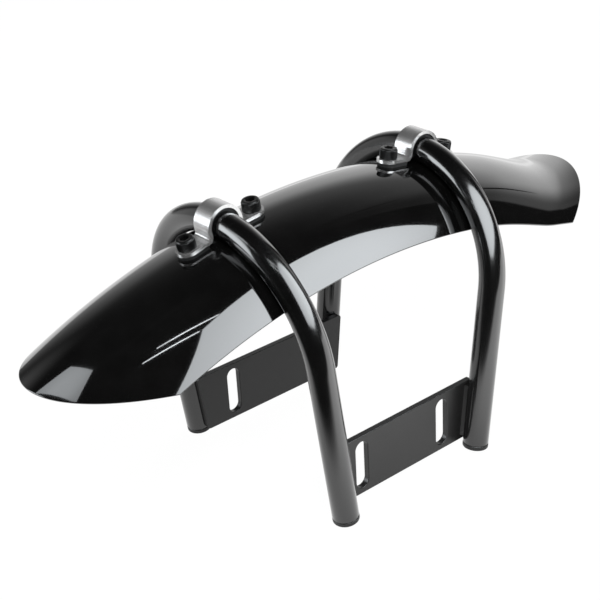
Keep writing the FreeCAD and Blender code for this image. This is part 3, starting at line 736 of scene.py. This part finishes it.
# %% Finishes on the CAD nodes
def coat(ending, finish):
    count = 0
    for name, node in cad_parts.items():
        if name.endswith(ending):
            node.data.materials.clear()
            node.data.materials.append(finish)
            count += 1
    print(ending, count)


coat("_fork_plate", plate_paint)
coat("_weld", plate_paint)
coat("_plug", plug_plastic)
coat("_strap_liner", clamp_rubber)
coat("_pad", clamp_rubber)

# %% [markdown]
# The stage is a white floor that runs into a white surround. The camera sees both as plain white. Mirror-like
# surfaces see a painted pool of light on the floor instead: dark on the camera's side of a slanted line and bright
# beyond it, brighter still towards the near side and far beyond the rear end. For the rest the black paint mirrors a
# room: pale near the horizon behind the part, on the right more than on the left, and dark higher up and on the
# camera's side, which is what gives gloss black its depth.

# %% Floor and surround
LIGHT_POOL_TURN = math.radians(35.0)
INWARD_TURN = math.radians(75.0)
OUTWARD_TURN = math.radians(5.0)
LEFT_TURN = math.radians(124.0)
FLOOR_RADIUS = 6.0
FLOOR_DARK = 0.03
FLOOR_WHITE = 1.035
FLOOR_SHARE = 0.95
LIGHT_POOL_LEVEL = 0.75
LIGHT_POOL_NEAR = 1.05
LIGHT_POOL_FAR = 0.35
ROOM_DARK = 0.02
ROOM_LEVEL = 0.85
LEFT_LEVEL = 0.45


def fade(bench, value, start, end):
    """A smooth step from 0 at start to 1 at end."""
    return bench.node("ShaderNodeMapRange", {"interpolation_type": "SMOOTHSTEP"}, {
        "Value": value, "From Min": min(start, end), "From Max": max(start, end),
        "To Min": float(start > end), "To Max": float(end > start)})


def stage_floor():
    mesh = bpy.data.meshes.new("floor")
    floor = bpy.data.objects.new("floor", mesh)
    bpy.context.scene.collection.objects.link(floor)
    work = bmesh.new()
    bmesh.ops.create_circle(work, cap_ends=True, segments=96, radius=FLOOR_RADIUS)
    work.to_mesh(mesh)
    work.free()
    material, bench = new_finish("floor_white")
    spot = bench.node("ShaderNodeSeparateXYZ", None, {0: bench.node("ShaderNodeTexCoord").out("Object")})
    # Mirrored rays see a painted pool of light here, not the white: dark before a slanted line, bright beyond it,
    # brighter towards the near side and far beyond the rear end.
    slant = spot.out("X") * math.cos(LIGHT_POOL_TURN) + spot.out("Y") * math.sin(LIGHT_POOL_TURN)
    light_pool = fade(bench, slant, -0.225, -0.15)
    near = fade(bench, spot.out("Y"), -0.02, -0.26)
    far = fade(bench, spot.out("X"), 0.7, 1.8)
    path = bench.node("ShaderNodeLightPath")
    mirrored = bench.math("MAXIMUM", path.out("Is Glossy Ray"), path.out("Is Transmission Ray"))
    bright = FLOOR_DARK + light_pool * (LIGHT_POOL_LEVEL + near * LIGHT_POOL_NEAR + far * LIGHT_POOL_FAR)
    white = path.out("Is Camera Ray") * FLOOR_WHITE + mirrored * bright
    seen = bench.math("MAXIMUM", path.out("Is Camera Ray") * FLOOR_SHARE, mirrored)
    matt = bench.node("ShaderNodeBsdfDiffuse", None, {"Color": (0.8, 0.8, 0.8, 1)})
    glow = bench.node("ShaderNodeEmission", None, {"Color": white, "Strength": 1.0})
    mixed = bench.node("ShaderNodeMixShader", None, {0: seen, 1: matt, 2: glow})
    bench.node("ShaderNodeOutputMaterial", None, {"Surface": mixed})
    mesh.materials.append(material)


def stage_world():
    world = bpy.data.worlds.new("surround")
    bpy.context.scene.world = world
    world.use_nodes = True
    bench = Bench(world.node_tree)
    heading = bench.node("ShaderNodeSeparateXYZ", None, {0: bench.node("ShaderNodeTexCoord").out("Generated")})
    east, north, height = heading.out("X"), heading.out("Y"), heading.out("Z")
    level = bench.math("MAXIMUM", bench.math("SQRT", east * east + north * north), 0.01)

    def facing(turn):
        return (east * math.cos(turn) + north * math.sin(turn)) / level

    inward = facing(INWARD_TURN)
    across = fade(bench, inward, 0.015, 0.05) * 0.35 + fade(bench, inward, 0.12, 0.42)
    across = across * fade(bench, facing(OUTWARD_TURN), 0.0, 1.1)
    upward = fade(bench, height, 0.60, 0.32) * 0.7 + fade(bench, height, 0.95, 0.50) * 0.3
    left = fade(bench, facing(LEFT_TURN), 0.80, 0.95) * fade(bench, height, 0.70, 0.35)
    room = across * upward * ROOM_LEVEL + left * LEFT_LEVEL
    seen = bench.node("ShaderNodeLightPath").out("Is Camera Ray")
    sky = bench.node("ShaderNodeBackground", None, {
        "Color": seen + (1 - seen) * (room + ROOM_DARK), "Strength": 1.0})
    bench.node("ShaderNodeOutputWorld", None, {"Surface": sky})


stage_floor()
stage_world()
print("stage ready")

# %% [markdown]
# Two plain lamps light the colours. Gloss black hardly shows them: it shows what it mirrors, so each bright shape
# in the paint comes from a soft card that only mirrors see. A wide one hangs in front for the side of the blade and
# the near bends of the tubes, one at the back left for the tops of the loops, one high at the left for the front
# tip, and two slim strips draw thin lines on the front of the blade. From behind, the crown would mirror the wide
# card at a grazing angle and turn white, so three dark flags stand on edge over the blade and hide it.

# %% Lamps
MIDDLE = Vector((0, 0, 0.13))


def lamp(name, place, size, power):
    """A soft lamp for the plain colours. The cards alone show in the gloss."""
    data = bpy.data.lights.new(name, "AREA")
    data.shape = "DISK"
    data.size = size
    data.energy = power
    holder = bpy.data.objects.new(name, data)
    bpy.context.scene.collection.objects.link(holder)
    holder.location = place
    holder.rotation_euler = (MIDDLE - Vector(place)).to_track_quat("-Z", "Y").to_euler()
    holder.visible_camera = False
    holder.visible_glossy = False


lamp("key_lamp", place=(-0.7, -1.0, 1.3), size=1.0, power=22.0)
lamp("fill_lamp", place=(1.2, 0.6, 1.2), size=1.2, power=14.0)


# %% Cards
CARD_TINT = (0.93, 0.97, 1.0)
CARD_DIMMING = 0.3
CARD_CORE = 0.2
STRIP_WIDTH = 3.0 * MM
ARCH_FOOT = -0.195
ARCH_OVERHANG = 0.017
ARCH_TURN = 0.03
ARCH_CORNER = -0.065


def hang(name, points, faces, colour, strength, material, bench):
    """Hang a glowing mesh in the stage, where only mirrors see it."""
    light = bench.node("ShaderNodeEmission", None, {"Color": colour, "Strength": strength})
    bench.node("ShaderNodeOutputMaterial", None, {"Surface": light})
    mesh = bpy.data.meshes.new(name)
    mesh.from_pydata(points, [], faces)
    mesh.materials.append(material)
    holder = bpy.data.objects.new(name, mesh)
    bpy.context.scene.collection.objects.link(holder)
    holder.visible_camera = False
    holder.visible_diffuse = False
    holder.visible_shadow = False


def card(name, azimuth, elevation, distance, corners, glow):
    """A glowing card that faces the part and grows dimmer towards its corners.

    Azimuth is counted from +X towards +Y. The corners are metres to the right and up on the card's own plane.
    """
    turn, lift = math.radians(azimuth), math.radians(elevation)
    heading = Vector((math.cos(turn) * math.cos(lift), math.sin(turn) * math.cos(lift), math.sin(lift)))
    right = Vector((-math.sin(turn), math.cos(turn), 0))
    upward = heading.cross(right)
    middle = MIDDLE + heading * distance

    def on_card(across, above):
        return middle + right * across + upward * above

    points = [on_card(*corner) for corner in corners]
    low, high = (on_card(*(pick(values) for values in zip(*corners))) for pick in (min, max))
    core = (low + high) / 2
    reach = max((point - core).length for point in points)
    material, bench = new_finish(name)
    spot = bench.node("ShaderNodeNewGeometry").out("Position")
    away = bench.node("ShaderNodeVectorMath", {"operation": "DISTANCE"}, {0: spot, 1: tuple(core)}).out("Value")
    level = 1 - fade(bench, away, reach * CARD_CORE, reach) * CARD_DIMMING
    tint = bench.node("ShaderNodeCombineColor", None, {
        part: level * share for part, share in zip(("Red", "Green", "Blue"), CARD_TINT)})
    hang(name, points, [tuple(range(len(points)))], tint, glow, material, bench)
    print(name, [round(value, 2) for value in middle])


def sheet(width, height, lift):
    """The corners of a plain rectangular card."""
    half, low, high = width / 2, lift - height / 2, lift + height / 2
    return (-half, low), (half, low), (half, high), (-half, high)


def strip(left, left_level, right, right_level):
    """The corners of a slim slanted strip."""
    return ((left, left_level), (right, right_level),
            (right, right_level + STRIP_WIDTH), (left, left_level + STRIP_WIDTH))


def arched(left, right, crown, middle, bend, steps=12):
    """The corners of a card with an arched top, a flat foot on the left and a slanted one on the right."""
    top = []
    for step in range(steps + 1):
        across = right + (left - right) * step / steps
        top.append((across, crown - bend * (across - middle) ** 2))
    return (left - ARCH_OVERHANG, ARCH_FOOT), (ARCH_TURN, ARCH_FOOT), (right, ARCH_CORNER), *top


NEAR_PLANE = {"azimuth": -100, "elevation": 50, "distance": 0.25}
wide = arched(left=-0.100, right=0.325, crown=0.068, middle=0.11, bend=1.54)
tip = (0.117, -0.109), (0.122, -0.165), (0.250, -0.030), (0.177, -0.039)
card("front_card", **NEAR_PLANE, corners=wide, glow=7.6)
card("upper_strip", **NEAR_PLANE, corners=strip(-0.165, 0.0365, -0.078, 0.0140), glow=16.0)
card("lower_strip", **NEAR_PLANE, corners=strip(-0.185, 0.0210, -0.104, -0.0010), glow=16.0)
card("back_card", azimuth=150, elevation=0, distance=1.4, corners=sheet(0.75, 0.83, 0.305), glow=6.8)
card("tip_card", azimuth=135, elevation=58, distance=0.30, corners=tip, glow=3.4)

# %% Flags
FLAG_OFFSET = -36.0 * MM
FLAG_SLANT = -0.045
FLAG_LOW = -3.0 * MM
FLAG_HIGH = 90.0 * MM
FLAG_GREY = (0.03, 0.03, 0.03, 1.0)


def flag(name, start, end, steps=10):
    """A dark sheet on edge over the blade, which follows the crown from start to end."""
    points = []
    for step in range(steps + 1):
        reach = start + (end - start) * step / steps
        crest = WHEEL_HEIGHT + math.sqrt(CROWN_RADIUS ** 2 - reach ** 2)
        across = FLAG_OFFSET + FLAG_SLANT * reach
        points += [(reach, across, crest + FLAG_LOW), (reach, across, crest + FLAG_HIGH)]
    faces = [(2 * step, 2 * step + 2, 2 * step + 3, 2 * step + 1) for step in range(steps)]
    hang(name, points, faces, FLAG_GREY, 1.0, *new_finish(name))


flag("front_flag", -0.20, -0.135)
flag("middle_flag", -0.045, 0.05)
flag("rear_flag", 0.13, 0.20)

# %% [markdown]
# The camera stands where the photographer's stood: in front of the near side, a little above, with a long lens
# and the slightest tilt of the horizon.

# %% Camera
CAMERA_TARGET = Vector((-26.69, -0.63, 127.588)) * MM
CAMERA_AZIMUTH = math.radians(-39.063)
CAMERA_ELEVATION = math.radians(26.975)
CAMERA_ROLL = math.radians(-3.37)
CAMERA_DISTANCE = 974.391 * MM
CAMERA_LENS = 82.453
SENSOR_WIDTH = 36.0


def stand_camera():
    data = bpy.data.cameras.new("camera")
    data.sensor_width = SENSOR_WIDTH
    data.lens = CAMERA_LENS
    camera = bpy.data.objects.new("camera", data)
    bpy.context.scene.collection.objects.link(camera)
    back = Vector((math.sin(CAMERA_AZIMUTH) * math.cos(CAMERA_ELEVATION),
                   -math.cos(CAMERA_AZIMUTH) * math.cos(CAMERA_ELEVATION), math.sin(CAMERA_ELEVATION)))
    level = Vector((0, 0, 1)).cross(back).normalized()
    upright = back.cross(level)
    axes = Matrix((level, upright, back)).transposed() @ Matrix.Rotation(CAMERA_ROLL, 3, "Z")
    camera.matrix_world = Matrix.Translation(CAMERA_TARGET + back * CAMERA_DISTANCE) @ axes.to_4x4()
    bpy.context.scene.camera = camera
    bpy.context.scene.view_settings.view_transform = "Standard"
    print("camera at", [round(value, 3) for value in camera.matrix_world.translation])


stand_camera()
